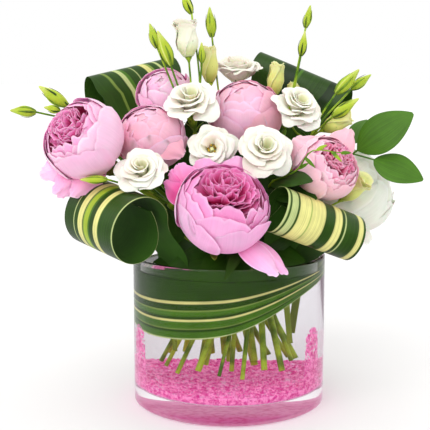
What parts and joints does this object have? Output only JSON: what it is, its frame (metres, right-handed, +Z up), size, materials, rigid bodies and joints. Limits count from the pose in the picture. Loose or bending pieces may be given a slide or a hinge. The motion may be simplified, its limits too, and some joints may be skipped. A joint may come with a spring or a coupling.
{
  "type": "peonies in a vase",
  "caption": "Bouquet of pink peonies, white lisianthus and rolled striped leaves in a low clear glass cylinder vase with water and a bed of crushed pink glass.",
  "frame": {"origin": "centre of the vase's flat underside", "axes": "+Z up along the vase's axis; the bouquet's front faces -Y, with +X to the right seen from the front"},
  "size_m": [0.399, 0.2641, 0.4075],
  "materials": {
    "glass": "clear polished glass",
    "water": "clear water",
    "crushed_glass": "pink crushed glass chips",
    "striped_leaf": "glossy dark green leaf with cream and yellow-green stripes",
    "green_leaf": "satin green leaf",
    "pink_petal": "soft pink petals, deeper towards the middle",
    "white_petal": "soft cream-white petals",
    "green_petal": "soft yellow-green half-open petals",
    "stem": "satin light green stem, sepal and bud"
  },
  "bodies": {
    "root": {"vase": "glass", "crushed_glass": "crushed_glass", "leaf_wrap": "striped_leaf", "leaf_roll_left": "striped_leaf", "leaf_roll_right": "striped_leaf", "leaf_roll_back_left": "striped_leaf", "leaf_roll_back_right": "striped_leaf", "peony_left": "pink_petal", "peony_left_stem": "stem", "peony_left_inner": "pink_petal", "peony_left_inner_stem": "stem", "peony_back_left": "pink_petal", "peony_back_left_stem": "stem", "peony_centre": "pink_petal", "peony_centre_stem": "stem", "peony_front": "pink_petal", "peony_front_stem": "stem", "peony_right": "pink_petal", "peony_right_stem": "stem", "peony_white": "white_petal", "peony_white_stem": "stem", "peony_rear_left": "pink_petal", "peony_rear_left_stem": "stem", "peony_rear_right": "pink_petal", "peony_rear_right_stem": "stem", "lisianthus_upper_left": "white_petal", "lisianthus_lower_left": "white_petal", "lisianthus_middle_left": "white_petal", "lisianthus_middle_right": "white_petal", "lisianthus_right": "white_petal", "lisianthus_top": "white_petal", "lisianthus_rear": "white_petal", "lisianthus_side": "white_petal", "half_open_tall": "white_petal", "half_open_green": "green_petal", "half_open_back": "green_petal", "half_open_low": "green_petal", "half_open_right": "green_petal", "half_open_side": "green_petal", "spray_upper_left": "stem", "spray_middle": "stem", "spray_right": "stem", "spray_top": "stem", "spray_top_right": "stem", "spray_lower_left": "stem", "spray_far_left": "stem", "spray_far_right": "stem", "spray_rear": "stem", "spray_side": "stem", "ruscus_sprig": "green_leaf", "foliage_front_right": "green_leaf", "foliage_front": "green_leaf", "foliage_rear": "green_leaf", "water": "water"}
  },
  "joints": []
}
